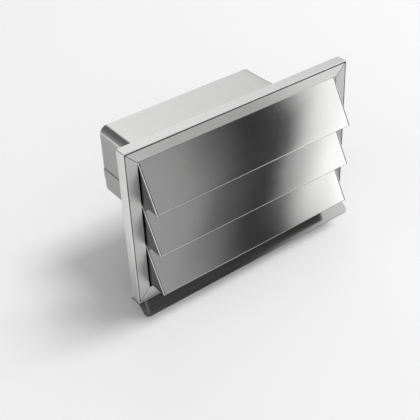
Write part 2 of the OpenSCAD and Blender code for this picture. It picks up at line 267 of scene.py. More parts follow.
def row_index(rows, n):
    """The numbers of a grid's points, and of each one's neighbour along its closed row."""
    index = np.arange(rows * n).reshape(rows, n)
    return index, np.roll(index, -1, axis=1)


def tube_faces(rows, n):
    """Faces between neighbouring rows of n points, with each row closed."""
    index, right = row_index(rows, n)
    return np.stack([index[:-1], right[:-1], right[1:], index[1:]], -1).reshape(-1, 4)


def pole_faces(rows, n):
    """Triangles that close a tube's first and last rows to two poles, numbered after its points."""
    index, right = row_index(rows, n)
    first = np.stack([right[0], index[0], np.full(n, rows * n)], -1)
    last = np.stack([index[-1], right[-1], np.full(n, rows * n + 1)], -1)
    return np.concatenate([first, last])


def ring_faces(rows, n):
    """Faces of a grid that is closed both ways."""
    index, right = row_index(rows, n)
    up, both = np.roll(index, -1, axis=0), np.roll(right, -1, axis=0)
    return np.stack([index, right, both, up], -1).reshape(-1, 4)


def solid(name, points, quads, triangles=None, **attributes):
    """Makes an object from arrays of points and faces, turned so that its faces point outwards."""
    faces = quads
    a, b, c, d = (points[faces[:, i]] for i in range(4))
    volume = np.einsum("ij,ij->i", np.cross(b - a, c - a) + np.cross(c - a, d - a), a).sum()
    if volume < 0:
        faces = faces[:, ::-1]
        triangles = None if triangles is None else triangles[:, ::-1]
    every = faces.tolist() + ([] if triangles is None else triangles.tolist())
    mesh = bpy.data.meshes.new(name)
    mesh.from_pydata(points.tolist(), [], every)
    mesh.polygons.foreach_set("use_smooth", np.ones(len(mesh.polygons), dtype=bool))
    mesh.set_sharp_from_angle(angle=SHARP)
    for key, values in attributes.items():
        mesh.attributes.new(key, "FLOAT", "POINT").data.foreach_set("value", values.ravel())
    mesh.update()
    made = bpy.data.objects.new(name, mesh)
    bpy.context.scene.collection.objects.link(made)
    return made


def add_mesh(name, points, quads, material, body, slot, replaced, triangles=None, **attributes):
    """Makes a piece with its finish, and says which body it rides on and which CAD nodes it stands for."""
    made = solid(name, points, quads, triangles, **attributes)
    made.data.materials.append(material)
    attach(made, body)
    if replaced:
        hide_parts(*replaced)
    return made


def straight(start, end, spacing, lead=0.4 * mm):
    """Points from start to end at a spacing, with one more close to each end."""
    span = np.linalg.norm(end - start)
    inner = np.linspace(0, 1, max(2, int(span / spacing) + 1))
    place = np.unique(np.concatenate([inner, [min(lead / span, 0.3), max(1 - lead / span, 0.7)]]))
    return start + place[:, None] * (end - start)


def turned_by(vectors, angles):
    """Plane vectors turned anticlockwise by angles."""
    c, s = np.cos(angles), np.sin(angles)
    return np.stack([vectors[0] * c - vectors[1] * s, vectors[0] * s + vectors[1] * c], -1)


def bent_line(corners, radii, spacing=6 * mm, steps=8):
    """A plane line of straight runs joined at each corner by an arc tangent to both runs."""
    corners = [np.array(p, float) for p in corners]
    runs, start = [], corners[0]
    for before, corner, after, radius in zip(corners, corners[1:], corners[2:], radii):
        into = (before - corner) / np.linalg.norm(before - corner)
        out = (after - corner) / np.linalg.norm(after - corner)
        half = np.arccos(np.clip(into @ out, -1, 1)) / 2
        reach = radius / np.tan(half)
        first, last = corner + into * reach, corner + out * reach
        middle = corner + (into + out) / np.linalg.norm(into + out) * radius / np.sin(half)
        spoke, end = first - middle, last - middle
        sweep = np.arctan2(spoke[0] * end[1] - spoke[1] * end[0], spoke @ end)
        runs += [straight(start, first, spacing)]
        runs += [middle + turned_by(spoke, np.linspace(0, sweep, steps + 1)[1:-1])]
        start = last
    return np.vstack(runs + [straight(start, corners[-1], spacing)])


ROUNDING = np.array([0.0, 0.13, 0.5, 1.0])
# Distances from an edge at which its bright edge, wear and painted highlight, is still drawn
WEAR_AND_HIGHLIGHT_STEPS = np.array([0.6, 1.2, 2.4]) * mm


def edge_steps(e):
    """Distances from an edge of rounding e, close enough to draw the rounding and the bright edge of wear and
    painted highlight.
    """
    return np.concatenate([ROUNDING * e, WEAR_AND_HIGHLIGHT_STEPS])


def with_ends(line, e):
    """The line with points added within e of both ends. Returns points, normals and distance along."""
    along = np.concatenate([[0], np.cumsum(np.linalg.norm(np.diff(line, axis=0), axis=1))])
    total = along[-1]
    near = edge_steps(e)
    near = near[near < total * 0.45]
    places = np.unique(np.round(np.concatenate([along, near, total - near]), 9))
    points = np.stack([np.interp(places, along, line[:, i]) for i in range(2)], -1)
    ahead = np.gradient(points, places, axis=0)
    ahead /= np.linalg.norm(ahead, axis=1)[:, None]
    return points, np.stack([-ahead[:, 1], ahead[:, 0]], -1), places


def rounded_edge(distance, e):
    """How much thinner half a sheet is at a distance from its edge, where the edge is rounded by radius e."""
    inside = np.clip(distance, 0, e)
    return e - np.sqrt(np.maximum(e * e - (e - inside) ** 2, 0))


def folded_sheet(name, line, thickness, low, high, place, material, body, slot, replaced,
                 e=0.2 * mm, stations=24, swell=None, inner=None):
    """A bent sheet. Point (s, x, side) is the line's point at s, moved half the thickness along the
    line's normal to that side, and carried along the third axis to x between low(s) and high(s). Half the
    thickness falls off within e of each edge. place(x, a, b) gives the point in space. inner says where
    the sheet gets painted shade: dull and dark."""
    points, normals, along = with_ends(np.asarray(line, float), e)
    total = along[-1]
    low = low(along, points) if callable(low) else np.full(len(along), low)
    high = high(along, points) if callable(high) else np.full(len(along), high)
    fraction = np.linspace(0, 1, stations)[1:-1]
    near = edge_steps(e)
    k = len(near)
    share = np.concatenate([np.zeros(k), fraction, np.ones(k)])[:, None]
    x = (low + near[-1]) * (1 - share) + (high - near[-1]) * share
    x[:k] = low + near[:, None]
    x[-k:] = high - near[::-1, None]
    edge_s = np.minimum(along, total - along)[None, :]
    edge_x = np.minimum(x - low, high - x)
    half = thickness / 2 - np.maximum(rounded_edge(edge_s, e), rounded_edge(edge_x, e))
    middle = points[None] + (0 if swell is None else swell(x, along, total)[..., None] * normals[None])
    upper = middle + half[..., None] * normals[None]
    lower = middle - half[..., None] * normals[None]
    loop = np.concatenate([upper, lower[:, ::-1]], axis=1)
    x = np.concatenate([x, x[:, ::-1]], axis=1)
    near = np.broadcast_to(np.minimum(edge_s, edge_x), half.shape)
    edge_wear_and_highlight = np.exp(-np.concatenate([near, near[:, ::-1]], axis=1) / WEAR_AND_HIGHLIGHT_REACH)
    rows, n = x.shape
    grid = place(x, loop[..., 0], loop[..., 1]).reshape(-1, 3)
    k = np.arange(n // 2 - 1)
    cap = np.stack([k, k + 1, n - 2 - k, n - 1 - k], -1)
    quads = np.concatenate([tube_faces(rows, n), cap[:, ::-1], cap + (rows - 1) * n])
    painted_shade_share = np.zeros(half.shape) if inner is None else np.broadcast_to(inner(along, edge_x), half.shape)
    painted_shade = np.concatenate([painted_shade_share, painted_shade_share[:, ::-1]], axis=1)
    return add_mesh(name, grid, quads, material, body, slot, replaced, edge=edge_wear_and_highlight, inner=painted_shade)


def across(x, a, b):
    """Along X, with the section drawn in Y and Z."""
    return np.stack([x, a, b], -1)


def upright(x, a, b):
    """Along Z, with the section drawn in Y and X."""
    return np.stack([b, a, x], -1)


# ---------------------------------------------------------------- sizes from the CAD model

tray_low, tray_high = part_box("wall_tray")
front_y = tray_low[1]
tray_bottom, tray_top = tray_low[2], tray_high[2]
tray_x = tray_high[0]
skin_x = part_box("louvre_1_skin")[1][0]
cheek_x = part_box("louvre_1_cheek_right")[1][0]
BEZEL_WIDTH = 15.5 * mm
open_x = tray_x - BEZEL_WIDTH
open_top, open_bottom = tray_top - BEZEL_WIDTH, tray_bottom + BEZEL_WIDTH
pivots = {joint["child"]: joint["pos_m"] for joint in frame["joints"]}
SHEET = 1.0 * mm
LOUVRE_T = 0.8 * mm
# The closed louvre's lean, and the radius of its top edge rolled round the rod
SLOPE = radians(29.5)
ROLL = 2.0 * mm
# How far behind its pivot a louvre's return reaches
RETURN_Y = -2.5 * mm


# ---------------------------------------------------------------- louvres

def louvre_line(n):
    """Round the rod, down the sloping face, back along the return and up the short upstand."""
    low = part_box(f"louvre_{n}_skin")[0]
    pivot = pivots[f"louvre_{n}"]
    bottom = low[2] - pivot[2]
    half = LOUVRE_T / 2
    # Where the face's middle line meets the return's
    down = (ROLL * sin(SLOPE) - (bottom + half)) / cos(SLOPE)
    toe = (-ROLL * cos(SLOPE) - down * sin(SLOPE), bottom + half)
    start = (-ROLL * cos(SLOPE), ROLL * sin(SLOPE))
    angles = np.linspace(radians(-196), pi - SLOPE, 40)
    roll = ROLL * np.stack([np.cos(angles), np.sin(angles)], -1)
    heel = (RETURN_Y - half, bottom + half)
    tip = (RETURN_Y - half, bottom + 4 * mm)
    rest = bent_line([start, toe, heel, tip], [0.5 * mm, 0.7 * mm])
    line = np.vstack([roll[:-1], rest])
    return line + np.array([pivot[1], pivot[2]])


def louvre_swell(seed):
    """A slow wave of a few hundredths of a millimetre over the face, which dies out at the edges."""
    shift = seed * 1.7

    def swell(x, along, total):
        face = np.clip((along - 14 * mm) / (20 * mm), 0, 1)
        face = face * np.clip((total - 20 * mm - along) / (15 * mm), 0, 1)
        ends = np.clip((skin_x - np.abs(x)) / (12 * mm), 0, 1)
        wave = np.sin(x * 38 + shift) * 0.6 + np.sin(x * 71 + along * 60 + shift * 2) * 0.4
        return 0.05 * mm * wave * face * ends
    return swell


# The last part of a louvre's line, its return and upstand, is dull and dark as painted shade, and so are the
# sheet's cut ends
PAINTED_SHADE_RETURN = 31 * mm

for n in (1, 2, 3):
    folded_sheet(
        f"louvre_{n}_sheet", louvre_line(n), LOUVRE_T, -skin_x, skin_x, across, LOUVRE_STEEL,
        f"louvre_{n}", "louvre_steel", [f"louvre_{n}_skin"], stations=60, swell=louvre_swell(n),
        inner=lambda along, edge_x: np.maximum(along > along[-1] - PAINTED_SHADE_RETURN, edge_x < 0.1 * mm) * 1.0
    )


def closed_outline(n):
    """The cheek's edge from the pivot: down the face's line, along the bottom, over the stop's notch, up
    the back and round the rod."""
    radius = ROLL + LOUVRE_T / 2
    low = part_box(f"louvre_{n}_skin")[0]
    drop = pivots[f"louvre_{n}"][2] - low[2]
    top = radius * np.array([-cos(SLOPE), sin(SLOPE)])
    length = (drop + radius * sin(SLOPE)) / cos(SLOPE)
    toe = top - length * np.array([sin(SLOPE), cos(SLOPE)])
    notch = 10 * mm - drop
    corners = [(top + toe) / 2, toe, (RETURN_Y, -drop), (RETURN_Y, notch), (radius, notch), (radius, 0)]
    edge = bent_line(corners, [0.5 * mm, 0.5 * mm, 0.3 * mm, 0.5 * mm], spacing=5 * mm, steps=4)
    angles = np.linspace(0, pi - SLOPE, 18)[1:]
    crown = radius * np.stack([np.cos(angles), np.sin(angles)], -1)
    return np.vstack([edge, crown, straight(top, (top + toe) / 2, 5 * mm)[1:-1]])


def louvre_cheek(n, side):
    """A flat plate. Point (k, u) is the outline's point at u drawn in towards the centre by ring k's share,
    or set in from the edge by ring k's rounding, at ring k's place through the thickness. A tab behind the
    louvre's face joins it on."""
    name = f"louvre_{n}_cheek_" + ("right" if side > 0 else "left")
    pivot = pivots[f"louvre_{n}"]
    outline = closed_outline(n)
    ahead = np.roll(outline, -1, axis=0) - np.roll(outline, 1, axis=0)
    ahead /= np.linalg.norm(ahead, axis=1)[:, None]
    outward = np.stack([ahead[:, 1], -ahead[:, 0]], -1)
    following = np.roll(outline, -1, axis=0)
    area = np.sum(outline[:, 0] * following[:, 1] - outline[:, 1] * following[:, 0])
    outward *= np.sign(area)
    centre = np.array([-7 * mm, -34 * mm])
    e, half = 0.2 * mm, SHEET / 2
    angles = np.radians([0, 30, 60, 90])
    # Each ring is a share of the way out, a distance in from the edge and a height from the middle
    rings = [(0.25, e, half), (0.6, e, half), (0.93, e, half)]
    rings += [(1.0, 1.2 * mm, half), (1.0, 0.9 * mm, half)]
    rings += [(1.0, e * (1 - sin(a)), half - e + e * cos(a)) for a in angles]
    rings += [(share, inset, -height) for share, inset, height in rings[::-1]]
    share, inset, height = (np.array(v)[:, None] for v in zip(*rings))
    plane = centre + share[..., None] * (outline[None] - inset[..., None] * outward[None] - centre)
    middle_x = side * (cheek_x - half)
    x = middle_x + np.broadcast_to(height, plane.shape[:2])
    grid = np.stack([x, plane[..., 0] + pivot[1], plane[..., 1] + pivot[2]], -1)
    poles = np.array([[middle_x + h, centre[0] + pivot[1], centre[1] + pivot[2]] for h in (half, -half)])
    # Painted highlight: the plate's cut edge all round, and a band under a millimetre wide along its forward
    # edge, carry the edge attribute
    faces_front = outward @ np.array([-cos(SLOPE), sin(SLOPE)]) > 0.8
    worn = (share > 0.99) & (inset < 1.0 * mm) & faces_front
    rim = np.where(np.abs(height) < half - 0.02 * mm, 1.0, worn * 1.0).ravel()
    add_mesh(
        name + "_plate", np.concatenate([grid.reshape(-1, 3), poles]), tube_faces(*x.shape), CHEEK_SHADE_HIGHLIGHT_STEEL,
        f"louvre_{n}", "louvre_steel", [name], triangles=pole_faces(*x.shape), edge=np.append(rim, [0, 0])
    )
    tab_line = bent_line([
        (middle_x, 4.5 * mm), (middle_x, LOUVRE_T + half),
        (side * (cheek_x - SHEET - 9 * mm), LOUVRE_T + half)
    ], [0.8 * mm])

    def behind_face(t, x, depth):
        """The point at t down the face, at x, and at a depth behind it."""
        from_axis = ROLL + LOUVRE_T / 2 - depth
        y = pivot[1] - from_axis * cos(SLOPE) - t * sin(SLOPE)
        return np.stack([x, y, pivot[2] + from_axis * sin(SLOPE) - t * cos(SLOPE)], -1)

    run = (pivot[2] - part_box(f"louvre_{n}_skin")[0][2] + 1.2 * mm) / cos(SLOPE)
    # The tab is near black: painted shade in the gap behind the louvre's face
    folded_sheet(
        name + "_tab", tab_line, SHEET - 0.02 * mm, 10 * mm, run - 10 * mm, behind_face, DARK_SHADE_STEEL,
        f"louvre_{n}", "louvre_steel", [], stations=8
    )


for n in (1, 2, 3):
    for side in (-1, 1):
        louvre_cheek(n, side)


# ---------------------------------------------------------------- bezel

# How far short of the corner a strip stops, for a gap of 0.4 mm across the mitre
MITRE = 0.4 / 2 * 2 ** 0.5 * mm
BEZEL_LIP = 8 * mm


def bezel_strip(name, inner, outer, axis):
    """A flat face from the opening's edge to the outer edge, with a lip bent back. Its ends are mitred at
    45 degrees: the end's place grows with the distance from the opening's edge."""
    sign = 1 if outer > inner else -1
    half = SHEET / 2
    rim = outer - sign * half
    line = bent_line(
        [(front_y + half, inner), (front_y + half, rim), (front_y + BEZEL_LIP, rim)],
        [0.52 * mm], spacing=4 * mm
    )
    face = abs(outer - inner) - half
    if axis == "X":
        end = lambda along, points: open_x - MITRE + np.abs(points[:, 1] - inner)
        low = lambda along, points: -end(along, points)
        place, material = across, BEZEL_X_STEEL
    else:
        end = lambda along, points: open_top - MITRE + np.abs(points[:, 1] - inner)
        low = lambda along, points: open_bottom + MITRE - np.abs(points[:, 1] - inner)
        place, material = upright, BEZEL_Z_STEEL
    # The lip and the cut ends are dull and dark: painted shade along the gap behind the bezel and at the
    # mitres
    folded_sheet(
        name + "_strip", line, SHEET, low, end, place, material, "casing", "bezel_steel", [name],
        e=0.15 * mm,
        inner=lambda along, edge_x: np.maximum(along > face - 0.35 * mm, edge_x < 0.15 * mm) * 1.0
    )


bezel_strip("bezel_top", open_top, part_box("bezel_top")[1][2], "X")
bezel_strip("bezel_bottom", open_bottom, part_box("bezel_bottom")[0][2], "X")
bezel_strip("bezel_right", open_x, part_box("bezel_right")[1][0], "Z")
bezel_strip("bezel_left", -open_x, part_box("bezel_left")[0][0], "Z")


# ---------------------------------------------------------------- drip lip

def drip_lip():
    """Flat under the tray, bent 35 degrees down in front of it, with the front corners rounded."""
    slope, length, corner = radians(35), 18.6 * mm, 6 * mm
    half = SHEET / 2
    bend = SHEET * tan(slope / 2) / 2
    tip = np.array([front_y - length * cos(slope), tray_bottom - length * sin(slope)])
    tip += half * np.array([sin(slope), -cos(slope)])
    line = bent_line(
        [(-0.0, tray_bottom - half), (front_y + bend, tray_bottom - half), tip], [1.0 * mm],
        spacing=0.8 * mm
    )
    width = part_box("drip_lip")[1][0]

    def high(along, points):
        depth = np.clip(corner - (along[-1] - along), 0, corner)
        return width - corner + np.sqrt(corner ** 2 - depth ** 2)

    folded_sheet(
        "drip_lip_sheet", line, SHEET, lambda a, p: -high(a, p), high, across, LIP_STEEL,
        "casing", "lip_steel", ["drip_lip"], stations=40
    )


drip_lip()


# ---------------------------------------------------------------- spigot and tray

def rounded_loop(half_w, half_h, radius, corner_steps=10, left_extra=(), centre_z=0.0):
    """A rounded rectangle in X and Z, anticlockwise from the middle of the right side, with its normals."""
    side = np.linspace(-1, 1, 13)[1:-1]
    points, normals = [], []
    for k in range(4):
        turn = k * pi / 2
        reach, half = ((half_w, half_h), (half_h, half_w))[k % 2]
        places = side * (half - radius)
        if k == 2:
            places = np.unique(np.concatenate([places, [-z for z in left_extra]]))
        straight_run = np.stack([np.full(len(places), reach), places], -1)
        angles = np.linspace(0, pi / 2, corner_steps + 1)
        direction = np.stack([np.cos(angles), np.sin(angles)], -1)
        corner = direction * radius + [reach - radius, half - radius]
        local = np.concatenate([straight_run, corner])
        outward = np.concatenate([np.tile([1.0, 0.0], (len(places), 1)), direction])
        c, s = round(cos(turn)), round(sin(turn))
        spin = np.array([[c, s], [-s, c]])
        points.append(local @ spin)
        normals.append(outward @ spin)
    points = np.concatenate(points) + [0, centre_z]
    return points, np.concatenate(normals)


def closed_tube(name, points, material, body, slot, replaced, edge_wear_and_highlight, inside):
    """A surface closed both ways, from an array of points by row, column and coordinate."""
    quads = ring_faces(*points.shape[:2])
    # inside is painted shade, carried in the inner attribute
    return add_mesh(
        name, points.reshape(-1, 3), quads, material, body, slot, replaced, edge=edge_wear_and_highlight, inner=inside
    )


# The lap seam's upper and lower edges on the spigot's left side
SEAM_TOP, SEAM_BOTTOM = -10 * mm, -22 * mm


def seam_band(z, step):
    """1 between the seam's edges, falling to 0 within a step inside them."""
    return np.clip((SEAM_TOP - z) / step, 0, 1) * np.clip((z - SEAM_BOTTOM) / step, 0, 1)


def duct_spigot():
    """Point (u, s, side): the loop's point at u moved outwards by the section's offset at s, at the
    section's Y. The section is a sheet bent 90 degrees, from the flange's rim in to the tube and back to its
    end. The outer side steps out by one thickness at the lap seam."""
    wall, flange = 0.8 * mm, 9 * mm
    low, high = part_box("duct_spigot")
    half_w, half_h = 111.3 * mm, 46.3 * mm
    end_y = high[1]
    e = 0.15 * mm
    flange_y = low[1] + wall / 2
    line = bent_line([(flange, flange_y), (-wall / 2, flange_y), (-wall / 2, end_y)], [0.9 * mm], 6 * mm)
    points, normals, along = with_ends(line, e)
    thin = rounded_edge(np.minimum(along, along[-1] - along), e)
    half = (wall / 2 - thin)[:, None] * normals
    section = np.concatenate([points + half, (points - half)[::-1]])
    near = np.minimum(along, along[-1] - along)
    near = np.concatenate([near, near[::-1]])
    outer = section[:, 0] > -0.5 * wall
    on_tube = outer & (section[:, 1] > low[1] + wall)
    step = 0.03 * mm
    seam = [edge + shift for edge in (SEAM_TOP, SEAM_BOTTOM) for shift in (0, -step, step)]
    loop, outward = rounded_loop(half_w, half_h, 10.5 * mm, left_extra=seam)
    raised = seam_band(loop[:, 1], step) * (loop[:, 0] < -half_w + 0.1 * mm)
    lift = raised[None, :] * (on_tube * wall)[:, None]
    offset = section[:, :1] + lift
    xz = loop[None] + offset[..., None] * outward[None]
    y = np.broadcast_to(section[:, 1:], offset.shape)
    grid = np.stack([xz[..., 0], y, xz[..., 1]], -1)
    edge_wear_and_highlight = np.broadcast_to(np.exp(-near / WEAR_AND_HIGHLIGHT_REACH)[:, None], offset.shape)
    closed_tube(
        "spigot_sleeve", grid, SPIGOT_STEEL, "casing", "spigot_steel", ["duct_spigot"],
        edge_wear_and_highlight, np.zeros(offset.shape)
    )


duct_spigot()


# ---------------------------------------------------------------- rivets, rods, bushes and clips

def round_parts(name, profile, places, axis, material, body, slot, replaced, sides=24):
    """Parts turned about an axis, at many places. Point (k, u) is the profile's (radius, height) at k turned
    to the angle u; the profile starts and ends on the axis."""
    profile = np.array(profile, float)
    r, h = profile[1:-1, 0], profile[1:-1, 1]
    angles = np.linspace(0, 2 * pi, sides, endpoint=False)
    ring = np.stack([r[:, None] * np.cos(angles), r[:, None] * np.sin(angles)], -1)
    height = np.broadcast_to(h[:, None], ring.shape[:2])
    body_points = np.concatenate([ring, height[..., None]], -1).reshape(-1, 3)
    poles = np.array([[0, 0, profile[0, 1]], [0, 0, profile[-1, 1]]])
    one = np.concatenate([body_points, poles])
    one = one[:, {"X": [2, 0, 1], "Y": [0, 2, 1], "Z": [0, 1, 2]}[axis]]
    step = (np.arange(len(places)) * len(one))[:, None, None]
    points = (one[None] + np.array(places, float)[:, None]).reshape(-1, 3)
    add_mesh(
        name, points, (tube_faces(len(r), sides)[None] + step).reshape(-1, 4), material, body, slot,
        replaced, triangles=(pole_faces(len(r), sides)[None] + step).reshape(-1, 3)
    )


def rivet_profile(head_r, head_h, shank_r, length):
    """A dome with the round mouth of its mandrel, over a shank: heights are from the head's seat."""
    top, foot = radians(62), radians(8)
    dome = [
        (head_r * cos(a) / cos(foot), head_h * (sin(a) - sin(foot)) / 0.745)
        for a in np.linspace(top, foot, 6)
    ]
    mouth = [(0, 0.35 * head_h), (0.28 * head_r, 0.35 * head_h), (0.32 * head_r, 0.95 * head_h)]
    return mouth + dome + [(head_r, 0), (shank_r, 0), (shank_r, -length), (0, -length)]


def flipped(profile):
    """The same profile pointing the other way along the axis."""
    return [(r, -h) for r, h in profile]


RIVET_HEAD = (2.8 * mm, 0.9 * mm)
RIVET_SHANK = 1.6 * mm
TAIL_PROUD = 0.06 * mm


def plate_rivets(name, places, seat_y, node):
    """Rivets through the tray's back plate, heads forward, their tails just proud of its back."""
    profile = flipped(rivet_profile(*RIVET_HEAD, RIVET_SHANK, -seat_y + TAIL_PROUD))
    spots = [(x * mm, seat_y, z * mm) for x, z in places]
    round_parts(name, profile, spots, "Y", BRIGHT_STEEL, "casing", "fastener_steel", [node])


# Places on the back plate, in millimetres
spigot_places = [(x, s * 50.5) for x in (-88, -28.6, 28.6, 88) for s in (-1, 1)]
spigot_places += [(s * 115.5, z) for z in (-19.8, 19.8) for s in (-1, 1)]
plate_rivets("spigot_pop_rivets", spigot_places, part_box("duct_spigot")[0][1], "spigot_rivets")

rail_mid = 1.2 + 4.5
open_mm = (open_x / mm, open_bottom / mm, open_top / mm)
rail_places = [
    (s * (open_mm[0] + rail_mid), open_mm[1] + (open_mm[2] - open_mm[1]) * (k + 0.5) / 4)
    for k in range(4) for s in (-1, 1)
]
rail_places += [(x * open_mm[0], open_mm[2] + rail_mid) for x in (-0.7, 0, 0.7)]
rail_places += [(x * open_mm[0], open_mm[1] - rail_mid) for x in (-0.7, 0, 0.7)]
plate_rivets("rail_pop_rivets", rail_places, -SHEET - 1.2 * mm, "rail_rivets")


def lip_rivets():
    """Rivets up through the lip and the tray's bottom wall, heads below."""
    profile = flipped(rivet_profile(*RIVET_HEAD, RIVET_SHANK, 2 * SHEET + 0.5 * mm))
    y = -SHEET - 2.8 * mm
    spots = [(x * tray_x, y, tray_bottom - SHEET) for x in (-0.75, -0.25, 0.25, 0.75)]
    round_parts(
        "lip_pop_rivets", profile, spots, "Z", BRIGHT_STEEL, "casing", "fastener_steel", ["lip_rivets"]
    )


lip_rivets()


def turned_rings(name, profile, places, material, body, slot, replaced, teeth=0):
    """Rings about X. Point (k, u) is the closed profile's (radius, height) at k turned to the angle u; the
    radius rises and falls with the teeth."""
    profile = np.array(profile, float)
    sides = 48
    angles = np.linspace(0, 2 * pi, sides, endpoint=False)
    radius = profile[:, :1] * (1 + (0.10 * np.cos(teeth * angles) if teeth else 0 * angles)[None])
    if teeth:
        radius = np.minimum(radius, profile[:, 0].max())
    height = np.broadcast_to(profile[:, 1:], radius.shape)
    one = np.stack([height, radius * np.cos(angles), radius * np.sin(angles)], -1).reshape(-1, 3)
    quads = ring_faces(*radius.shape)
    points = np.concatenate([one * [direction, 1, direction] + place for place, direction in places])
    step = (np.arange(len(places)) * len(one))[:, None, None]
    add_mesh(name, points, (quads[None] + step).reshape(-1, 4), material, body, slot, replaced)


def bush_profile():
    """A flanged bush's section from its bore out: a collar inwards of the web, a sleeve through it."""
    bore, sleeve, collar = 1.30 * mm, 1.90 * mm, 2.7 * mm
    deep, out = -1.2 * mm, 1.3 * mm
    c = 0.15 * mm
    return [
        (bore, deep + c), (bore + c, deep), (collar - 2 * c, deep), (collar, deep + 2 * c),
        (collar, -c * 0.3), (collar - c * 0.3, 0), (sleeve, 0), (sleeve, out - c), (sleeve - c, out),
        (bore, out)
    ]


bush_places = [
    (np.array([side * open_x, p[1], p[2]]), side) for p in pivots.values() for side in (-1, 1)
]
turned_rings("flanged_bushes", bush_profile(), bush_places, NYLON, "casing", "bush_nylon", ["pivot_bushes"])


def clip_profile():
    """A push-on clip's section: a thin dished ring."""
    bore, rim, t = 1.27 * mm, 2.4 * mm, 0.8 * mm
    return [
        (bore, 0.25 * t), (bore + 0.3 * mm, 0.02 * t), (rim - 0.2 * mm, 0), (rim, 0.12 * t),
        (rim, 0.38 * t), (rim - 0.2 * mm, 0.5 * t), (bore + 0.3 * mm, 0.6 * t), (bore, 0.98 * t)
    ]


for n in (1, 2, 3):
    pivot = pivots[f"louvre_{n}"]
    half_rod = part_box(f"louvre_{n}_rod")[1][0]
    r, c = 1.25 * mm, 0.25 * mm
    rod = [
        (0, -half_rod), (r - c, -half_rod), (r, c - half_rod), (r, 0), (r, half_rod - c),
        (r - c, half_rod), (0, half_rod)
    ]
    round_parts(
        f"louvre_{n}_pivot_rod", rod, [pivot], "X", BRIGHT_STEEL, f"louvre_{n}", "fastener_steel",
        [f"louvre_{n}_rod"], sides=28
    )
    clip_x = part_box(f"louvre_{n}_clips")[1][0] - 0.8 * mm
    turned_rings(
        f"louvre_{n}_push_clips", clip_profile(),
        [(np.array([side * clip_x, pivot[1], pivot[2]]), side) for side in (-1, 1)],
        BRIGHT_STEEL, f"louvre_{n}", "fastener_steel", [f"louvre_{n}_clips"], teeth=6
    )


# ---------------------------------------------------------------- rails, stops and rubber

def upright_bar(node, name, material, slot, e):
    """A bar along X with rounded long edges, as big as the CAD's."""
    low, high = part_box(node)
    middle = (low[1] + high[1]) / 2
    folded_sheet(
        name, straight(np.array([middle, low[2]]), np.array([middle, high[2]]), 2 * mm), high[1] - low[1],
        low[0], high[0], across, material, "casing", slot, [node], e=e, stations=20
    )


for n in (1, 2, 3):
    upright_bar(f"stop_bar_{n}", f"stop_rail_{n}", INNER_SHADE_STEEL, "inner_steel", 0.3 * mm)
    upright_bar(f"stop_strip_{n}", f"rubber_seal_{n}", RUBBER, "stop_rubber", 0.5 * mm)


def angle_rail(node, name, edge, side, low, high, place):
    """A web along the opening's edge, bent out to a foot on the tray."""
    t = 1.2 * mm
    line = bent_line([
        (front_y + SHEET, edge + side * t / 2), (-SHEET - t / 2, edge + side * t / 2),
        (-SHEET - t / 2, edge + side * (t + 9 * mm))
    ], [0.8 * mm], spacing=2.5 * mm)
    folded_sheet(name, line, t, low, high, place, INNER_SHADE_STEEL, "casing", "inner_steel", [node], stations=20)


rail_x = open_x + 1.2 * mm
angle_rail("rail_top", "angle_rail_top", open_top, 1, -rail_x, rail_x, across)
angle_rail("rail_bottom", "angle_rail_bottom", open_bottom, -1, -rail_x, rail_x, across)
angle_rail("rail_right", "angle_rail_right", open_x, 1, open_bottom, open_top, upright)
angle_rail("rail_left", "angle_rail_left", -open_x, -1, open_bottom, open_top, upright)


# ---------------------------------------------------------------- tray

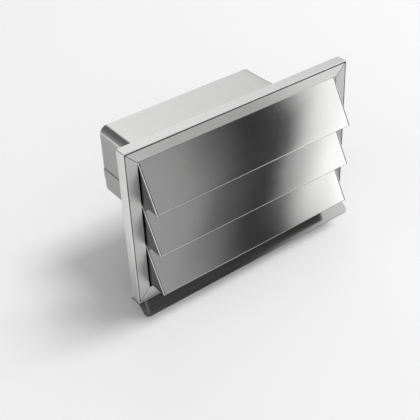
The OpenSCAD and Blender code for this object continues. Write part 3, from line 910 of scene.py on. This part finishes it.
def tray_pan():
    """A pan closed round its duct hole. Point (u, k): row k is either the hole's loop blended towards the
    rim's loop, or the rim's loop set in by a distance, at its own depth. The rows go from the hole along the
    wall side, round the bend, forward to the rim, back inside and in along the front side to the hole."""
    half_w, half_h = 111.5 * mm, 46.5 * mm
    centre_z = (tray_top + tray_bottom) / 2
    seam = [SEAM_TOP + 0.2 * mm, SEAM_TOP, SEAM_BOTTOM, SEAM_BOTTOM - 0.2 * mm]
    hole, hole_out = rounded_loop(half_w, half_h, 10.7 * mm, left_extra=seam)
    rim, rim_out = rounded_loop(
        tray_x, (tray_top - tray_bottom) / 2, 0.9 * mm, left_extra=[z - centre_z for z in seam],
        centre_z=centre_z
    )
    step = 0.2 * mm
    notch = np.clip((SEAM_TOP + step - hole[:, 1]) / step, 0, 1)
    notch = notch * np.clip((hole[:, 1] - SEAM_BOTTOM + step) / step, 0, 1)
    hole = hole + (notch * (hole[:, 0] < -half_w + 0.1 * mm) * 0.9 * mm)[:, None] * hole_out
    t, bend, e = SHEET, 0.9 * mm, 0.2 * mm
    turn = np.linspace(0, pi / 2, 6)
    depth = front_y
    # Each row is a share of the way from the hole to the rim, a distance in from the rim and a depth
    rows = [(f, bend, 0.0) for f in (0, 0.01, 0.25, 0.5, 0.75, 0.98)]
    rows += [(1, bend * (1 - sin(a)), -bend * (1 - cos(a))) for a in turn]
    rows += [(1, 0, y) for y in (-3 * mm, -8 * mm, depth + 2.4 * mm, depth + 1.2 * mm, depth + 0.6 * mm)]
    rows += [(1, e * (1 - cos(a)), depth + e * (1 - sin(a))) for a in np.radians([0, 30, 60, 90])]
    rows += [(1, t - e * (1 - cos(a)), depth + e * (1 - sin(a))) for a in np.radians([90, 60, 30, 0])]
    rows += [(1, t, y) for y in (depth + 1.2 * mm, depth + 2.4 * mm, -8 * mm, -3 * mm, -t - 0.3 * mm)]
    rows += [(1, t + 0.09 * mm, -t - 0.09 * mm), (1, t + 0.3 * mm, -t)]
    rows += [(f, t + 0.3 * mm, -t) for f in (0.98, 0.75, 0.5, 0.25, 0.01, 0)]
    share, inset, y = (np.array(v)[:, None] for v in zip(*rows))
    set_in = rim[None] - inset[..., None] * rim_out[None]
    xz = hole[None] * (1 - share[..., None]) + set_in * share[..., None]
    grid = np.stack([xz[..., 0], np.broadcast_to(y, xz.shape[:2]), xz[..., 1]], -1)
    near = y - depth
    edge_wear_and_highlight = np.broadcast_to(np.exp(-near / WEAR_AND_HIGHLIGHT_REACH), xz.shape[:2])
    # The rows after the rim's are the inside, which gets painted shade at 0.6 of full strength
    inside = (np.arange(len(rows)) > 18) * (near[:, 0] > 0.3 * mm)
    inside = np.broadcast_to(0.6 * inside[:, None], xz.shape[:2])
    return closed_tube(
        "tray_pan", grid, TRAY_STEEL, "casing", "casing_steel", ["wall_tray"], edge_wear_and_highlight, inside
    )


def drill(made, spots, radius, low_y, high_y):
    """Cuts round holes along Y and leaves a plain mesh."""
    sides = 40
    angles = np.linspace(0, 2 * pi, sides, endpoint=False)
    circle = np.stack([np.cos(angles), np.sin(angles)], -1) * radius
    for x, z in spots:
        ends = [np.insert(circle + [x, z], 1, y, axis=1) for y in (low_y, high_y)]
        poles = np.array([[x, low_y, z], [x, high_y, z]])
        cutter = solid("drill", np.concatenate(ends + [poles]), tube_faces(2, sides), pole_faces(2, sides))
        cut = made.modifiers.new("hole", "BOOLEAN")
        cut.operation, cut.solver, cut.object = "DIFFERENCE", "EXACT", cutter
        graph = bpy.context.evaluated_depsgraph_get()
        mesh = bpy.data.meshes.new_from_object(made.evaluated_get(graph))
        made.modifiers.clear()
        made.data = mesh
        bpy.data.objects.remove(cutter)
    made.data.set_sharp_from_angle(angle=SHARP)


mounting_holes = [(x * 123 * mm, z * 65 * mm) for x in (-1, 1) for z in (-1, 1)]
drill(tray_pan(), mounting_holes, 2.5 * mm, -2.5 * mm, 1 * mm)


# ---------------------------------------------------------------- finishes on the CAD's own solids

# The first row with a word from a node's name gives its finish
NODE_FINISHES = [
    (("bezel_top", "bezel_bottom"), BEZEL_X_STEEL), (("bezel_left", "bezel_right"), BEZEL_Z_STEEL),
    (("wall_tray",), TRAY_STEEL), (("drip_lip",), LIP_STEEL), (("duct_spigot",), SPIGOT_STEEL),
    (("pivot_bushes",), NYLON), (("stop_strip",), RUBBER), (("skin",), LOUVRE_STEEL),
    (("cheek",), CHEEK_SHADE_HIGHLIGHT_STEEL), (("rivets", "rod", "clips"), BRIGHT_STEEL), (("corner_keys",), DARK_SHADE_STEEL)
]


def node_material(node):
    """The finish of a CAD node by the words in its name. Rails and stop bars are the inner steel, kept dark
    as painted shade.
    """
    fits = [finish for words, finish in NODE_FINISHES if any(word in node for word in words)]
    return fits[0] if fits else INNER_SHADE_STEEL


for node_name, cad_object in frame["nodes"].items():
    cad_object.data.materials.clear()
    cad_object.data.materials.append(node_material(node_name))


# ---------------------------------------------------------------- studio

def studio_world():
    """Soft light all round: bright behind, and in front a grey wall, a dark flag and a bright soft box side
    by side. Its level is a function of the direction: ramps over X low and high in front, and one behind."""
    world = bpy.data.worlds.new("studio")
    bpy.context.scene.world = world
    graph = Graph(world)
    x, y, z = graph.xyz(graph.node("TexCoord").outputs["Generated"])
    lean = graph.step(z, 0.19, 0.29) * 0.045
    low = graph.ramp((x - lean - 0.3) * 2.5, [
        (0.0, 0.26), (0.225, 0.24), (0.30, 0.20), (0.362, 0.105), (0.425, 0.044), (0.475, 0.018),
        (0.512, 0.014), (0.56, 0.045), (0.61, 0.35), (0.66, 0.66), (0.70, 0.82), (0.80, 1.0)
    ])
    high = graph.ramp((x - 0.3) * 2.5, [
        (0.0, 0.08), (0.185, 0.06), (0.268, 0.035), (0.345, 0.014), (0.42, 0.003), (0.49, 0.004),
        (0.56, 0.06), (0.622, 0.46), (0.683, 0.70), (0.80, 0.9)
    ])
    rise = graph.step(z, 0.4, 0.6)
    side = graph.step(x, 0.3, -0.1) * (1.0 - graph.step(z, 0.70, 0.80))
    beyond = 1.0 - graph.step(x, 0.67, 0.86) * 0.5
    front = (low * (1.0 - rise) + high * rise) * 1.6 * beyond + side * 0.8
    behind = graph.ramp((x + 1.0) * 0.5, [
        (0.0, 0.3), (0.20, 0.22), (0.25, 0.13), (0.55, 0.11), (0.62, 0.30), (0.66, 1.0), (0.70, 0.86),
        (0.73, 0.80), (0.80, 0.66), (0.82, 0.58), (1.0, 0.6)
    ])
    turn = graph.step(y, 0.2, 0.5)
    level = front * (1.0 - turn) + behind * turn * 1.2
    shown = graph.node("Background", None, Color=grey(0.95), Strength=1.0)
    lit = graph.node("Background", None, Strength=level, Color=grey(1.0))
    seen = graph.node("LightPath").outputs["Is Camera Ray"]
    both = graph.node("MixShader", None, Fac=seen, s1=lit.outputs[0], s2=shown.outputs[0])
    graph.node("OutputWorld", None, Surface=both.outputs[0])


def floor():
    """A plain pale floor just under the lowest point of the vent. Only where the steel reflects it is it
    darker by place, as a
    painted reflection: a ramp over X in front of the vent, and a step behind it that stands for its shadow."""
    material = bpy.data.materials.new("floor")
    graph = Graph(material)
    x, y, _ = graph.xyz(graph.node("TexCoord").outputs["Object"])
    front = graph.ramp(x * 2.0 + 0.3, [
        (0.0, 0.95), (0.25, 0.85), (0.34, 0.64), (0.46, 0.58), (0.6, 0.54), (0.80, 0.40), (0.90, 0.72),
        (1.0, 1.0)
    ])
    back = 1.0 - graph.step(x + y * 0.6, -0.14, -0.10) * 0.5
    behind = graph.step(y, -0.02, 0.02)
    reflected = front * (1.0 - behind) + back * behind
    gloss = Value(graph, graph.node("LightPath").outputs["Is Glossy Ray"])
    level = (1.0 - gloss) + gloss * reflected
    colour = graph.mix(level, grey(0.0), grey(0.93))
    shader = graph.node("BsdfPrincipled", None, Base_Color=colour, Roughness=0.9)
    graph.node("OutputMaterial", None, Surface=shader.outputs[0])
    half = 12.0
    z = cad_box[0][2] - 0.3 * mm
    corners = [(-half, -half, z), (half, -half, z), (half, half, z), (-half, half, z)]
    mesh = bpy.data.meshes.new("floor")
    mesh.from_pydata(corners, [], [(0, 1, 2, 3)])
    mesh.materials.append(material)
    made = bpy.data.objects.new("floor", mesh)
    bpy.context.scene.collection.objects.link(made)


def area_light(name, place, aim, size, power):
    """A square soft light that looks from its place to its aim and doesn't show in the steel."""
    lamp = bpy.data.lights.new(name, "AREA")
    lamp.shape = "SQUARE"
    lamp.size = size
    lamp.energy = power
    made = bpy.data.objects.new(name, lamp)
    made.location = place
    made.rotation_euler = (Vector(aim) - Vector(place)).to_track_quat("-Z", "Y").to_euler()
    made.visible_glossy = False
    bpy.context.scene.collection.objects.link(made)


def camera(azimuth, elevation, roll, distance, target, lens, shift):
    """A camera at a distance from its target; azimuth 0 looks along +Y."""
    az, el, turn = (radians(v) for v in (azimuth, elevation, roll))
    back = Vector((sin(az) * cos(el), -cos(az) * cos(el), sin(el)))
    right = (-back).cross(Vector((0, 0, 1))).normalized()
    up = right.cross(-back)
    right, up = right * cos(turn) + up * sin(turn), up * cos(turn) - right * sin(turn)
    data = bpy.data.cameras.new("camera")
    data.lens = lens
    data.shift_y = shift
    made = bpy.data.objects.new("camera", data)
    axes = Matrix((right, up, back)).transposed().to_4x4()
    made.matrix_world = Matrix.Translation(Vector(target) + back * distance) @ axes
    bpy.context.scene.collection.objects.link(made)
    bpy.context.scene.camera = made


studio_world()
floor()
area_light("key", place=(3.1, -0.9, 5.6), aim=(0, 0, -0.05), size=2.4, power=245)
camera(
    azimuth=-35.80, elevation=34.09, roll=-2.62, distance=0.9963, target=(-0.0382, 0, 0.0156),
    lens=76.289, shift=-0.1
)
bpy.context.scene.view_settings.view_transform = "Standard"
